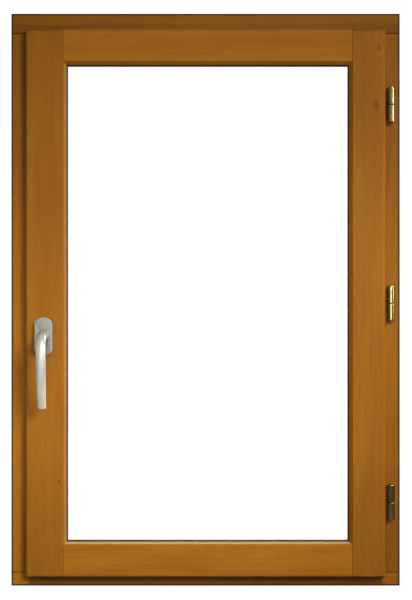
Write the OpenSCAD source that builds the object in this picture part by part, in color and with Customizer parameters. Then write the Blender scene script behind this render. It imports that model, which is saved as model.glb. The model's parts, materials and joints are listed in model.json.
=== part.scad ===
// Casement window: a wooden frame with one sash that opens into the room.
// X runs to the right as seen from the room, Y outdoors and Z up. The origin is in the middle of
// the frame's underside, half way through the frame's depth.

/* [Frame] */
// Width of the frame
frame_w = 700; // [580:5:1000]
// Height of the frame
frame_h = 1031; // [860:1:1500]
// Depth of the frame, room face to outdoor face
frame_depth = 68; // [68:1:92]
// Width of a jamb's room face
jamb_face = 34; // [32:1:48]
// Height of the head's room face
head_face = 36; // [32:1:50]
// Height of the sill's room face
sill_face = 25; // [24:1:36]
// Thickness of the outer stop that the sash closes against
stop_depth = 16; // [14:1:24]
// How far the sill's nose stands out from the frame
nose_reach = 32; // [24:1:60]
// Thickness of a tenon finger
finger = 10; // [8:0.5:11]

/* [Sash] */
// Depth of the sash
sash_depth = 68; // [66:1:80]
// Thickness of the lip that covers the joint
lip_depth = 18; // [16:1:24]
// How far the lip overlaps round the sash
lip_lap = 18; // [16:1:22]
// Air gap between sash and frame, all round
air_gap = 12; // [11:0.5:15]
// Gap between the lip and the frame's room face
lip_gap = 2; // [1.5:0.1:3]
// Overlap of the sash and the frame's stop
stop_lap = 16; // [14:1:20]
// Lock stile, lip edge to glass
lock_stile = 75; // [72:1:110]
// Hinge stile, lip edge to glass
hinge_stile = 67; // [62:1:110]
// Top rail, lip edge to glass
top_rail = 67; // [60:1:110]
// Bottom rail, lip edge to glass
bottom_rail = 65; // [60:1:110]
// Chamfer round the glass
chamfer = 8.5; // [4:0.5:12]

/* [Glazing] */
// Depth of wood in front of the glass
nib_depth = 16; // [14:1:20]
// How far the wood covers the edge of the glass
glass_cover = 16; // [14:1:18]
// Thickness of each pane
pane = 4; // [3:1:6]
// Space between the panes
cavity = 16; // [12:1:18]
// Thickness of each glazing seal
seal = 3; // [2:0.5:4]
// Gap round the edge of the panes, for the setting blocks
edge_gap = 4; // [3:0.5:5]

/* [Hinges] */
// Diameter of a hinge barrel
barrel_d = 13; // [12:0.5:16]
// Length of one knuckle
knuckle = 31.5; // [26:0.5:40]
// Thickness of the ring between two knuckles
ring = 1.5; // [1:0.25:2.5]
// Diameter of the hinge pin
hinge_pin_d = 8; // [6:0.5:8.5]
// Running clearance round a pin
run_gap = 0.05; // [0.02:0.01:0.1]
// Distance between neighbouring hinges
hinge_pitch = 357; // [280:1:420]
// Diameter of a hinge stud
stud_d = 6; // [5:0.5:8]

/* [Handle and lock] */
// Height of the handle's spindle above the frame's underside
handle_z = 450; // [380:5:600]
// Spindle to the lock edge of the sash
backset = 15; // [15:0.5:16]
// Side of the square spindle
spindle = 7; // [7:0.5:8]
// Width of the rosette
rosette_w = 31; // [28:1:36]
// Height of the rosette
rosette_h = 67; // [64:1:76]
// Depth of the rosette
rosette_depth = 10; // [9:0.5:13]
// Distance between the handle's two screws
screw_pitch = 43; // [43:1:46]
// Length of the lever below the spindle
lever_drop = 126; // [100:1:150]
// How far the lever's grip stands in front of the rosette
lever_reach = 46; // [38:1:60]
// Teeth on the pinion, module 1
teeth = 18; // [16:2:18]
// Diameter of a locking roller
roller_d = 8; // [7:0.5:9]
// Height of each locking roller above the frame's underside
roller_inset = 145; // [120:5:180]

/* [Fixings] */
// Diameter of the frame fixing holes
fixing_d = 8; // [6:0.5:10]
// Distance of a fixing hole from the end of the jamb
fixing_inset = 200; // [190:5:260]

/* [Hidden] */
$fn = 48;

// Colours
oak_light = "#a0682a";
oak_dark = "#8a5a20";
brass = "#a8935a";
satin = "#c4c8c4";
steel = "#b8bcc0";
rubber = "#4a4640";
clear_glass = "#cfe4e6";

// Frame, worked out
half_w = frame_w / 2;
room_y = -frame_depth / 2;
out_y = frame_depth / 2;
stop_y = out_y - stop_depth;
wall_x = half_w - jamb_face;
head_z = frame_h - head_face;
stop_x = wall_x - air_gap - stop_lap;
stop_z = head_z - air_gap - stop_lap;
nose_y = out_y + nose_reach;
nose_drop = 11;
sill_fall = 3;
gutter = 10;
gutter_drop = 12;
drip = 4;
drip_depth = 3;
drip_in = 12;
nose_z = sill_face - nose_drop;
slope_top = sill_face - sill_fall;
gutter_z = sill_face - gutter_drop;
bit = 0.5;

// Sash, worked out
body_x = wall_x - air_gap;
body_lo = sill_face + air_gap;
body_hi = head_z - air_gap;
lip_x = body_x + lip_lap;
lip_lo = body_lo - lip_lap;
lip_hi = body_hi + lip_lap;
lip_back = room_y - lip_gap;
sash_room = lip_back - lip_depth;
sash_out = sash_room + sash_depth;
sight_l = -lip_x + lock_stile;
sight_r = lip_x - hinge_stile;
sight_lo = lip_lo + bottom_rail;
sight_hi = lip_hi - top_rail;
pocket_l = sight_l - glass_cover;
pocket_r = sight_r + glass_cover;
pocket_lo = sight_lo - glass_cover;
pocket_hi = sight_hi + glass_cover;
gutter_y = sash_out - gutter;

// Glazing, worked out: the room side of each layer
seal_y = sash_room + nib_depth;
inner_y = seal_y + seal;
space_y = inner_y + pane;
outer_y = space_y + cavity;
outer_seal_y = outer_y + pane;
bead_y = outer_seal_y + seal;
glass_l = pocket_l + edge_gap;
glass_r = pocket_r - edge_gap;
glass_lo = pocket_lo + edge_gap;
glass_hi = pocket_hi - edge_gap;
bead_back = 6;
bead_l = sight_l - bead_back;
bead_r = sight_r + bead_back;
bead_lo = sight_lo - bead_back;
bead_hi = sight_hi + bead_back;
seal_w = glass_cover - edge_gap - 1;
outer_seal_w = seal_w - bead_back;
edge_seal_w = 4;
spacer_w = (glass_cover - edge_gap - edge_seal_w) / 2;

// Tenon fingers: the room side of each
finger_in = 8;
finger_pitch = 2.2 * finger;
finger_ys = [room_y + finger_in, room_y + finger_in + finger_pitch];

// Hinges, worked out
barrel_gap = 1;
barrel_side_gap = 4.8;
hinge_x = lip_x + barrel_d / 2 + barrel_side_gap;
hinge_y = room_y - barrel_gap - barrel_d / 2;
sash_mid = (lip_lo + lip_hi) / 2;
hinge_drop = 1;
hinge_mid = sash_mid - hinge_drop;
hinge_zs = [hinge_mid + hinge_pitch, hinge_mid, hinge_mid - hinge_pitch];
barrel_round = 2.5;
stud_rise = 7;
stud_wall = 0.8;
stud_root = hinge_pin_d / 2 + run_gap + stud_wall;
sash_stud_in = 34;
sash_stud_end = lip_x - sash_stud_in;
frame_stud_in = 32;
frame_stud_end = room_y + frame_stud_in;
pin_cover = 8;
pin_top = knuckle - pin_cover;

// Handle and lock, worked out
spindle_x = -body_x + backset;
rosette_y = sash_room - rosette_depth;
collar_d = 23;
collar_t = 3;
neck_d = 16;
base_inset = 2.2;
rosette_t = 3;
base_t = rosette_depth - rosette_t;
handle_screw_d = 5;
head_d = 8.5;
lock_in = 13;
lock_y = room_y + lock_in;
plate_w = 16;
plate_t = 2.5;
rod_w = 10;
pitch_r = teeth / 2;
rack_x = spindle_x - pitch_r;
dedendum = 1.25;
backlash = 0.16;
rod_gap = 0.2;
rod_x = -body_x + plate_t + rod_gap;
rod_back = rack_x - dedendum;
groove_x = rack_x + 1.5;
throw = pitch_r * PI / 2;
hub_wall = 1.1;
hub_r = spindle / 2 * sqrt(2) + hub_wall;
case_gap = 0.4;
case_wall = 1.5;
case_fit = 0.1;
case_side = 3.8;
screw_boss_d = 8.4;
case_y = rod_w / 2 + case_gap + case_wall;
case_h = 34;
case_back = spindle_x + pitch_r + case_side;
roller_shift = 245;
bottom_shift = 5;
roller_zs = [frame_h - roller_inset, (frame_h + roller_shift) / 2, roller_inset + bottom_shift];
roller_pin_d = 4;
roller_len = 7;
roller_x = -body_x - roller_len;
keep_t = 2;
keep_lip = 8;
keep_h = 22;
fixing_in = 26;
fixing_y = room_y + fixing_in;
fixing_zs = [fixing_inset, frame_h - fixing_inset];
eps = 1;

// A block between two opposite corners
module block(lo, hi) {
    translate(lo) cube(hi - lo);
}

// An outline in Y and Z, drawn along X
module along_x(x0, x1) {
    translate([x0, 0, 0]) rotate([90, 0, 90]) linear_extrude(x1 - x0) children();
}

// An outline in X and Z, drawn along Y
module along_y(y0, y1) {
    translate([0, y1, 0]) rotate([90, 0, 0]) linear_extrude(y1 - y0) children();
}

// Round bars along each axis
module bar_x(x0, x1, y, z, d) {
    translate([x0, y, z]) rotate([0, 90, 0]) cylinder(h = x1 - x0, d = d);
}

module bar_y(y0, y1, x, z, d) {
    translate([x, y0, z]) rotate([-90, 0, 0]) cylinder(h = y1 - y0, d = d);
}

module bar_z(z0, z1, x, y, d) {
    translate([x, y, z0]) cylinder(h = z1 - z0, d = d);
}

// A rectangular ring across the window, given by its outer edges and its width
module ring_y(y0, y1, left, right, lo, hi, w) {
    along_y(y0, y1) difference() {
        translate([left, lo]) square([right - left, hi - lo]);
        translate([left + w, lo + w]) square([right - left - 2 * w, hi - lo - 2 * w]);
    }
}

// Tenon fingers, or the slots for them
module fingers(x0, x1, z0, z1) {
    for (y = finger_ys)
        block([x0, y, z0], [x1, y + finger, z1]);
}

// Frame

// Screw holes that fix the frame to the wall
module fixing_holes(x0, x1) {
    for (z = fixing_zs)
        bar_x(x0, x1, fixing_y, z, fixing_d);
}

stop_seal_w = 6;
barb_w = 3;
barb = 3;
stop_seal_x = stop_x + stop_lap / 2;
stop_seal_z = stop_z + stop_lap / 2;
seal_touch = 0.3;

// The stop's gasket along the head and both jambs, as a band of width w
module stop_band(y0, y1, w) {
    along_y(y0, y1) difference() {
        translate([-stop_seal_x - w / 2, sill_face])
            square([2 * stop_seal_x + w, stop_seal_z + w / 2 - sill_face]);
        translate([-stop_seal_x + w / 2, sill_face - eps])
            square([2 * stop_seal_x - w, stop_seal_z - w / 2 - sill_face + eps]);
    }
}

module frame_gasket() {
    color(rubber) union() {
        stop_band(sash_out + seal_touch, stop_y, stop_seal_w);
        stop_band(stop_y, stop_y + barb, barb_w);
    }
}

module frame_head() {
    color(oak_dark) difference() {
        union() {
            block([-half_w, room_y, head_z], [half_w, stop_y, frame_h]);
            block([-half_w, stop_y, stop_z], [half_w, out_y, frame_h]);
        }
        fingers(-half_w - eps, -wall_x, head_z - eps, frame_h + eps);
        fingers(wall_x, half_w + eps, head_z - eps, frame_h + eps);
        stop_band(stop_y - bit, stop_y + barb, barb_w);
    }
}

// One jamb, drawn on the hinge side
module jamb() {
    difference() {
        union() {
            block([wall_x, room_y, sill_face], [half_w, stop_y, head_z]);
            block([stop_x, stop_y, sill_face], [half_w, out_y, stop_z]);
            fingers(wall_x, half_w, 0, frame_h);
        }
        stop_band(stop_y - bit, stop_y + barb, barb_w);
        fixing_holes(wall_x - eps, half_w + eps);
    }
}

module frame_jamb_lock() {
    color(oak_light) difference() {
        mirror([1, 0, 0]) jamb();
        keep_screws();
    }
}

module frame_jamb_hinge() {
    color(oak_light) difference() {
        jamb();
        for (z = hinge_zs)
            bar_y(room_y - eps, frame_stud_end, hinge_x, z - stud_rise, stud_d);
    }
}

sill_slope = (slope_top - nose_z) / (nose_y - sash_out);
seat_z = slope_top - sill_slope * (out_y - sash_out);
drain_d = 7;
drain_dx = 200;
drain_in = 19;
drain_start = 2;
drain_y = nose_y - drain_in;
drain_mid_y = gutter_y + gutter / 2;
drain_run = drain_y - drain_mid_y;
drain_tilt = atan2(drain_run, gutter_z + drain_start);

module frame_sill() {
    color(oak_dark) difference() {
        union() {
            along_x(-stop_x, stop_x) polygon([
                [room_y, 0], [nose_y, 0], [nose_y, nose_z], [sash_out, slope_top],
                [sash_out, gutter_z], [gutter_y, gutter_z], [gutter_y, sill_face],
                [room_y, sill_face]]);
            for (x = [-half_w, stop_x])
                along_x(x, x + half_w - stop_x) polygon([
                    [room_y, 0], [nose_y, 0], [nose_y, nose_z], [out_y, seat_z],
                    [out_y, sill_face], [room_y, sill_face]]);
        }
        fingers(-half_w - eps, -wall_x, -eps, sill_face + eps);
        fingers(wall_x, half_w + eps, -eps, sill_face + eps);
        block([-half_w - eps, nose_y - drip_in, -eps],
            [half_w + eps, nose_y - drip_in + drip, drip_depth]);
        for (x = [-drain_dx, 0, drain_dx])
            translate([x, drain_mid_y, gutter_z + drain_start]) rotate([180 + drain_tilt, 0, 0])
                translate([0, 0, -3]) cylinder(h = norm([drain_run, gutter_z]) + 14, d = drain_d);
    }
}

// Keeps, on the lock-side jamb

keep_front = 8;
keep_behind = 10;
keep_y0 = lock_y - roller_d / 2 - keep_front;
keep_y1 = lock_y + keep_behind;
keep_lip_t = 3;
keep_lip_gap = 0.3;
keep_lip_y = lock_y - roller_d / 2 - keep_lip_gap - keep_lip_t;
keep_screw_d = 4;
keep_screw_dz = 16;
keep_screw_len = 22;
keep_head_t = 1.5;
keep_head_d = 7;
keep_lip_end = 1.5;
keep_lip_x = -body_x - keep_lip_end;

module keep(z) {
    color(satin) difference() {
        union() {
            block([-wall_x, keep_y0, z - keep_h], [-wall_x + keep_t, keep_y1, z + keep_h]);
            block([-wall_x, keep_lip_y, z - keep_lip],
                [keep_lip_x, keep_lip_y + keep_lip_t, z + keep_lip]);
        }
        for (s = [-1, 1])
            bar_x(-wall_x - eps, -wall_x + keep_t + eps,
                lock_y, z + s * keep_screw_dz, keep_screw_d);
    }
}

module keep_top() {
    keep(roller_zs[0]);
}

module keep_middle() {
    keep(roller_zs[1]);
}

module keep_bottom() {
    keep(roller_zs[2]);
}

module keep_screws() {
    color(steel) for (z = roller_zs)
        for (dz = [-keep_screw_dz, keep_screw_dz]) {
            face = -wall_x + keep_t;
            bar_x(-wall_x - keep_screw_len, face, lock_y, z + dz, keep_screw_d);
            bar_x(face, face + keep_head_t, lock_y, z + dz, keep_head_d);
        }
}

// Hinges

// Half of a knuckle's outline: a bored barrel with one rounded end at the top
module knuckle_outline(bore) {
    r = barrel_d / 2;
    polygon(concat(
        [[bore / 2, 0], [r, 0]],
        [for (a = [0:15:90])
            [r, knuckle] + barrel_round * [cos(a) - 1, sin(a) - 1]],
        [[bore / 2, knuckle]]));
}

module lower_knuckle(z) {
    color(brass) union() {
        translate([hinge_x, hinge_y, z - ring / 2]) mirror([0, 0, 1])
            rotate_extrude() knuckle_outline(hinge_pin_d);
        bar_y(hinge_y + stud_root, frame_stud_end, hinge_x, z - stud_rise, stud_d);
    }
}

module upper_knuckle(z) {
    color(brass) union() {
        translate([hinge_x, hinge_y, z + ring / 2])
            rotate_extrude() knuckle_outline(hinge_pin_d + 2 * run_gap);
        bar_x(sash_stud_end, hinge_x - stud_root, hinge_y, z + stud_rise, stud_d);
    }
}

module hinge_ring(z) {
    color(brass) translate([hinge_x, hinge_y, z - ring / 2]) difference() {
        cylinder(h = ring, d = barrel_d - 1);
        translate([0, 0, -eps]) cylinder(h = ring + 2 * eps, d = hinge_pin_d);
    }
}

module hinge_pin(z) {
    reach = ring / 2 + pin_top;
    color(steel) bar_z(z - reach, z + reach, hinge_x, hinge_y, hinge_pin_d);
}

module hinge_top_lower() {
    lower_knuckle(hinge_zs[0]);
}

module hinge_top_pin() {
    hinge_pin(hinge_zs[0]);
}

module hinge_top_ring() {
    hinge_ring(hinge_zs[0]);
}

module hinge_top_upper() {
    upper_knuckle(hinge_zs[0]);
}

module hinge_middle_lower() {
    lower_knuckle(hinge_zs[1]);
}

module hinge_middle_pin() {
    hinge_pin(hinge_zs[1]);
}

module hinge_middle_ring() {
    hinge_ring(hinge_zs[1]);
}

module hinge_middle_upper() {
    upper_knuckle(hinge_zs[1]);
}

module hinge_bottom_lower() {
    lower_knuckle(hinge_zs[2]);
}

module hinge_bottom_pin() {
    hinge_pin(hinge_zs[2]);
}

module hinge_bottom_ring() {
    hinge_ring(hinge_zs[2]);
}

module hinge_bottom_upper() {
    upper_knuckle(hinge_zs[2]);
}

// Sash

lip_seal_in = 0.8;
lip_seal_w = 4.4;
lip_barb = 2;
barb_inset = 1.2;

// A band of the lip's gasket
module lip_band(y0, y1, inset, w) {
    ring_y(y0, y1, -lip_x + inset, lip_x - inset, lip_lo + inset, lip_hi - inset, w);
}

// The gasket's barb, or with some extra length the groove for it
module lip_barb_band(extra) {
    lip_band(lip_back - lip_barb, lip_back + extra, lip_seal_in + barb_inset,
        lip_seal_w - 2 * barb_inset);
}

module sash_gasket() {
    color(rubber) union() {
        lip_band(lip_back, room_y - seal_touch, lip_seal_in, lip_seal_w);
        lip_barb_band(0);
    }
}

// The sight opening and the glazing pocket behind it, grown sideways by a little
module openings(grow) {
    block([sight_l - grow, sash_room - eps, sight_lo], [sight_r + grow, seal_y + eps, sight_hi]);
    block([pocket_l - grow, seal_y, pocket_lo], [pocket_r + grow, sash_out + eps, pocket_hi]);
}

// The whole sash as one ring of wood: lip, body and glazing rebate
module sash_ring() {
    difference() {
        union() {
            block([-lip_x, sash_room, lip_lo], [lip_x, lip_back, lip_hi]);
            block([-body_x, lip_back, body_lo], [body_x, sash_out, body_hi]);
        }
        openings(0);
        lip_barb_band(bit);
        bead_pins();
    }
}

// An upright wedge for the chamfer on a stile's sight edge
module along_z_wedge(x, s, c) {
    translate([0, 0, lip_lo]) linear_extrude(lip_hi - lip_lo) polygon([
        [x - s * (c + eps), sash_room - eps],
        [x, sash_room + c],
        [x + s * eps, sash_room + c],
        [x + s * eps, sash_room - eps]]);
}

// The stile's share of the ring: square to the chamfer, then mitred along it
module stile_share(side) {
    edge = side * (lip_x + eps);
    sight = side < 0 ? sight_l : sight_r;
    pocket = side < 0 ? pocket_l : pocket_r;
    square_x = sight + side * chamfer;
    along_y(sash_room - eps, seal_y) polygon([
        [edge, lip_lo - eps], [square_x, lip_lo - eps], [square_x, sight_lo - chamfer],
        [sight, sight_lo], [sight, sight_hi], [square_x, sight_hi + chamfer],
        [square_x, lip_hi + eps], [edge, lip_hi + eps]]);
    block([min(edge, pocket), seal_y, lip_lo - eps],
        [max(edge, pocket), sash_out + eps, lip_hi + eps]);
}

// The stile's own chamfer, so that its ends are mitred
module stile_wedge(side) {
    along_z_wedge(side < 0 ? sight_l : sight_r, -side, chamfer);
}

// Slots through the stile for the rails' fingers
module stile_slots(side) {
    pocket = side < 0 ? pocket_l : pocket_r;
    edge = side * (body_x + eps);
    fingers(min(edge, pocket), max(edge, pocket), body_lo - eps, pocket_lo);
    fingers(min(edge, pocket), max(edge, pocket), pocket_hi, body_hi + eps);
}

module stile(side) {
    difference() {
        intersection() {
            sash_ring();
            stile_share(side);
        }
        stile_wedge(side);
        stile_slots(side);
    }
}

module rail(side) {
    mid = (lip_lo + lip_hi) / 2;
    lo = side < 0 ? lip_lo - eps : mid;
    hi = side < 0 ? mid : lip_hi + eps;
    sight = side < 0 ? sight_lo : sight_hi;
    pocket = side < 0 ? pocket_lo : pocket_hi;
    body = side < 0 ? body_lo : body_hi;
    difference() {
        union() {
            difference() {
                intersection() {
                    sash_ring();
                    block([-lip_x, sash_room - eps, lo], [lip_x, sash_out + eps, hi]);
                }
                stile_share(-1);
                stile_share(1);
                openings(eps);
            }
            for (x = [[-body_x, pocket_l], [pocket_r, body_x]])
                fingers(x[0], x[1], min(body, pocket), max(body, pocket));
        }
        along_x(-lip_x, lip_x) polygon([
            [sash_room - eps, sight + side * (chamfer + eps)],
            [sash_room + chamfer, sight],
            [sash_room + chamfer, sight - side * eps],
            [sash_room - eps, sight - side * eps]]);
        sash_edge_cuts();
    }
}

// Groove for the weather bar's tongue
module bar_groove() {
    block([bar_end_l, tongue_y, tongue_z], [bar_end_r, sash_out + eps, tongue_z + tongue]);
}

module sash_stile_lock() {
    color(oak_light) difference() {
        stile(-1);
        sash_edge_cuts();
        handle_holes();
        bar_groove();
    }
}

module sash_stile_hinge() {
    color(oak_light) difference() {
        stile(1);
        for (z = hinge_zs)
            bar_x(sash_stud_end, lip_x + eps, hinge_y, z + stud_rise, stud_d);
        bar_groove();
    }
}

module sash_rail_top() {
    color(oak_light) rail(1);
}

module sash_rail_bottom() {
    color(oak_light) difference() {
        rail(-1);
        bar_groove();
    }
}

// Weather bar, held by a tongue in the bottom rail
bar_gap = 4;
bar_below = 19;
bar_reach = 28;
bar_lo = sill_face + bar_gap;
bar_hi = sight_lo - bar_below;
bar_end_l = -stop_x + 8;
bar_end_r = stop_x - 3;
tongue = 6;
tongue_up = 17;
tongue_y = sash_out - tongue;
tongue_z = bar_lo + tongue_up;

module weather_bar() {
    nose = sash_out + bar_reach;
    color(oak_dark) union() {
        along_x(bar_end_l, bar_end_r) polygon([
            [sash_out, bar_lo + 8], [sash_out + 5, bar_lo + 4], [nose - 10, bar_lo + 4],
            [nose - 10, bar_lo + 7], [nose - 6, bar_lo + 7], [nose - 6, bar_lo],
            [nose, bar_lo], [nose, bar_lo + 9], [sash_out + 6, bar_hi], [sash_out, bar_hi]]);
        block([bar_end_l, tongue_y, tongue_z], [bar_end_r, sash_out, tongue_z + tongue]);
    }
}

// Glazing

module glass_pane(y) {
    block([glass_l, y, glass_lo], [glass_r, y + pane, glass_hi]);
}

module glass_inner() {
    color(clear_glass) glass_pane(inner_y);
}

module glass_outer() {
    color(clear_glass) glass_pane(outer_y);
}

module edge_seal() {
    color(rubber)
        ring_y(space_y, outer_y, glass_l, glass_r, glass_lo, glass_hi, edge_seal_w);
}

module spacer_bar() {
    e = edge_seal_w;
    color(satin)
        ring_y(space_y, outer_y, glass_l + e, glass_r - e, glass_lo + e, glass_hi - e, spacer_w);
}

module glazing_seal_inner() {
    color(rubber)
        ring_y(seal_y, inner_y, glass_l, glass_r, glass_lo, glass_hi, seal_w);
}

module glazing_seal_outer() {
    color(rubber)
        ring_y(outer_seal_y, bead_y, glass_l, glass_r, glass_lo, glass_hi, outer_seal_w);
}

setting_in = 60;
setting_len = 80;

module setting_blocks() {
    color(rubber) for (x = [pocket_l + setting_in, pocket_r - setting_in - setting_len])
        block([x, inner_y, pocket_lo], [x + setting_len, outer_seal_y, glass_lo]);
}

// A bead's section: its inner edge slopes back from the glass
bead_slope = 5;

module bead_ring() {
    difference() {
        block([pocket_l, bead_y, pocket_lo], [pocket_r, sash_out, pocket_hi]);
        block([bead_l, bead_y - eps, bead_lo], [bead_r, sash_out + eps, bead_hi]);
        for (s = [[bead_lo, -1], [bead_hi, 1]])
            along_x(pocket_l - eps, pocket_r + eps) polygon([
                [sash_out + eps, s[0] + s[1] * (bead_slope + eps)],
                [sash_out - bead_slope * 2, s[0]],
                [sash_out - bead_slope * 2, s[0] - s[1] * eps],
                [sash_out + eps, s[0] - s[1] * eps]]);
        bead_pins();
    }
}

module side_bead(x0, x1, edge, s) {
    color(oak_light) difference() {
        block([x0, bead_y, bead_lo], [x1, sash_out, bead_hi]);
        translate([0, 0, bead_lo - eps]) linear_extrude(bead_hi - bead_lo + 2 * eps) polygon([
            [edge + s * (bead_slope + eps), sash_out + eps],
            [edge, sash_out - bead_slope * 2],
            [edge - s * eps, sash_out - bead_slope * 2],
            [edge - s * eps, sash_out + eps]]);
        bead_pins();
    }
}

module end_bead(lo, hi) {
    color(oak_light) intersection() {
        bead_ring();
        block([pocket_l, bead_y, lo], [pocket_r, sash_out, hi]);
    }
}

module bead_top() {
    end_bead(bead_hi, pocket_hi);
}

module bead_bottom() {
    end_bead(pocket_lo, bead_lo);
}

module bead_lock() {
    side_bead(pocket_l, bead_l, bead_l, -1);
}

module bead_hinge() {
    side_bead(bead_r, pocket_r, bead_r, 1);
}

bead_pin_d = 1.6;
bead_pin_depth = 7;
bead_pin_y = bead_y + bead_pin_depth;
bead_pin_in = 7;
bead_pin_out = 8;

module bead_pins() {
    mid_x = (sight_l + sight_r) / 2;
    mid_z = (sight_lo + sight_hi) / 2;
    dx = (sight_r - sight_l) / 3;
    dz = (sight_hi - sight_lo) / 3;
    a = bead_pin_out;
    b = bead_pin_in;
    color(steel) for (i = [-1, 0, 1]) {
        bar_x(pocket_l - a, pocket_l + b, bead_pin_y, mid_z + i * dz, bead_pin_d);
        bar_x(pocket_r - b, pocket_r + a, bead_pin_y, mid_z + i * dz, bead_pin_d);
        bar_z(pocket_lo - a, pocket_lo + b, mid_x + i * dx, bead_pin_y, bead_pin_d);
        bar_z(pocket_hi - b, pocket_hi + a, mid_x + i * dx, bead_pin_y, bead_pin_d);
    }
}

// Handle

neck_gap = 0.5;
base_gap = 0.2;
screw_head_t = 3.5;
base_y = sash_room - base_t;

// An upright oval with arched ends and straight sides
arch = 0.62;

module oval(w, h) {
    r = arch * w;
    centre = h / 2 - r;
    side = centre + sqrt(r * r - w * w / 4);
    intersection() {
        square([w, h], center = true);
        union() {
            for (s = [-1, 1])
                translate([0, s * centre]) circle(r);
            square([w, 2 * side], center = true);
        }
    }
}

module oval_y(y0, y1, inset) {
    along_y(y0, y1) translate([spindle_x, handle_z])
        oval(rosette_w - 2 * inset, rosette_h - 2 * inset);
}

module handle_base() {
    color(steel) difference() {
        oval_y(base_y, sash_room, base_inset + base_gap);
        bar_y(base_y - eps, sash_room + eps, spindle_x, handle_z, 2 * hub_r + 1);
        handle_screws();
    }
}

module handle_rosette() {
    color(satin) difference() {
        oval_y(rosette_y, sash_room, 0);
        oval_y(base_y - base_gap, sash_room + eps, base_inset);
        bar_y(rosette_y - eps, sash_room, spindle_x, handle_z, neck_d + 2 * neck_gap);
    }
}

module handle_collar() {
    color(satin) difference() {
        bar_y(rosette_y - collar_t, rosette_y, spindle_x, handle_z, collar_d);
        bar_y(rosette_y - collar_t - eps, rosette_y + eps, spindle_x, handle_z, neck_d + 2 * neck_gap);
    }
}

module handle_screws() {
    color(steel) for (s = [-1, 1])
        union() {
            z = handle_z + s * screw_pitch / 2;
            bar_y(base_y, base_y + screw_head_t, spindle_x, z, head_d);
            bar_y(base_y + screw_head_t - eps, lock_y + rod_w / 2, spindle_x, z, handle_screw_d);
        }
}

// Holes through the stile for the spindle
module handle_holes() {
    bar_y(sash_room - eps, lock_y, spindle_x, handle_z, 2 * hub_r + 1);
    handle_screws();
}

// The lever's middle line, as depth in front of the rosette and height above the spindle
function bezier(p, t) = let (u = 1 - t)
    pow(u, 3) * p[0] + 3 * t * u * u * p[1] + 3 * t * t * u * p[2] + pow(t, 3) * p[3];

elbow = [[20, 0], [lever_reach - 6, 0], [lever_reach, -10], [lever_reach + 0.5, -32]];
grip = [[lever_reach + 0.5, -32], [lever_reach + 1.1, -62], [lever_reach - 10, -98],
    [lever_reach - 22, -lever_drop]];
elbow_steps = 10;
grip_steps = 12;
lever_line = concat(
    [[rosette_y - base_y + 0.3, 0], [8, 0]],
    [for (i = [0:elbow_steps]) bezier(elbow, i / elbow_steps)],
    [for (i = [1:grip_steps]) bezier(grip, i / grip_steps)]);
lever_last = len(lever_line) - 1;
lever_sides = 28;

// Half width and half thickness at each ring: round at the neck, flatter down the grip
function ease(t) = t * t * (3 - 2 * t);
function blend(a, b, t) = a + (b - a) * ease(min(1, max(0, t)));
function lever_width(i) = let (t = i / lever_last)
    t < 0.6 ? blend(neck_d / 2, 9, t / 0.6) : blend(9, 7.5, (t - 0.6) / 0.4);
function lever_thick(i) = let (t = i / lever_last)
    t < 0.6 ? blend(neck_d / 2, 5.6, (t - 0.1) / 0.5) : blend(5.6, 4.6, (t - 0.6) / 0.4);
function lever_square(i) = blend(2, 2.6, (i / lever_last - 0.2) / 0.4);
function signed_pow(v, e) = sign(v) * pow(abs(v), e);

lever_points = [for (i = [0:lever_last])
    let (at = lever_line[i],
        step = lever_line[min(i + 1, lever_last)] - lever_line[max(i - 1, 0)],
        dir = step / norm(step),
        e = 2 / lever_square(i))
    for (k = [0:lever_sides - 1])
        let (a = 360 * k / lever_sides,
            across = lever_width(i) * signed_pow(cos(a), e),
            out = lever_thick(i) * signed_pow(sin(a), e))
        [spindle_x + across, rosette_y - (at[0] - dir[1] * out), handle_z + at[1] + dir[0] * out]];

lever_faces = concat(
    [[for (k = [0:lever_sides - 1]) k]],
    [for (i = [0:lever_last - 1])
        for (k = [0:lever_sides - 1])
            let (n = (k + 1) % lever_sides, a = i * lever_sides, b = a + lever_sides)
            [a + k, b + k, b + n, a + n]],
    [[for (k = [lever_sides - 1:-1:0]) lever_last * lever_sides + k]]);

spindle_in = 14;
spindle_end = rosette_y - spindle_in;
grub_in = 5;
grub_y = rosette_y - collar_t - grub_in;
grub_d = 4;
grub_gap = 0.4;
square_gap = 0.1;

module handle_lever() {
    hole = spindle / 2 + square_gap;
    color(satin) difference() {
        polyhedron(points = lever_points, faces = lever_faces);
        block([spindle_x - hole, spindle_end - 0.5, handle_z - hole],
            [spindle_x + hole, sash_room, handle_z + hole]);
        bar_z(handle_z - neck_d, handle_z - spindle / 2, spindle_x, grub_y, grub_d + grub_gap);
    }
}

module grub_screw() {
    color(steel) bar_z(handle_z - neck_d / 2 + 0.6, handle_z - spindle / 2 - square_gap,
        spindle_x, grub_y, grub_d);
}

module handle_spindle() {
    color(steel) block([spindle_x - spindle / 2, spindle_end, handle_z - spindle / 2],
        [spindle_x + spindle / 2, lock_y + case_y - 0.5, handle_z + spindle / 2]);
}

// Lock in the edge of the sash

plate_inset = 23;
plate_lo = body_lo + plate_inset;
plate_hi = body_hi - plate_inset;
end_wood = 14;
plate_screw_d = 3.5;
plate_head_t = 1.5;
plate_screw_len = 22;

// Everything that is cut from the wood for the lock
module sash_edge_cuts() {
    edge = -body_x - eps;
    rod_half = rod_w / 2 + case_gap;
    case_half = case_y + case_fit;
    block([edge, lock_y - plate_w / 2, plate_lo],
        [-body_x + plate_t, lock_y + plate_w / 2, plate_hi]);
    block([edge, lock_y - rod_half, plate_lo + end_wood],
        [groove_x, lock_y + rod_half, plate_hi - end_wood]);
    block([edge, lock_y - case_half, handle_z - case_h - bit],
        [case_back + 2 * case_fit, lock_y + case_half, handle_z + case_h + bit]);
    faceplate_screws();
}

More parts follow.
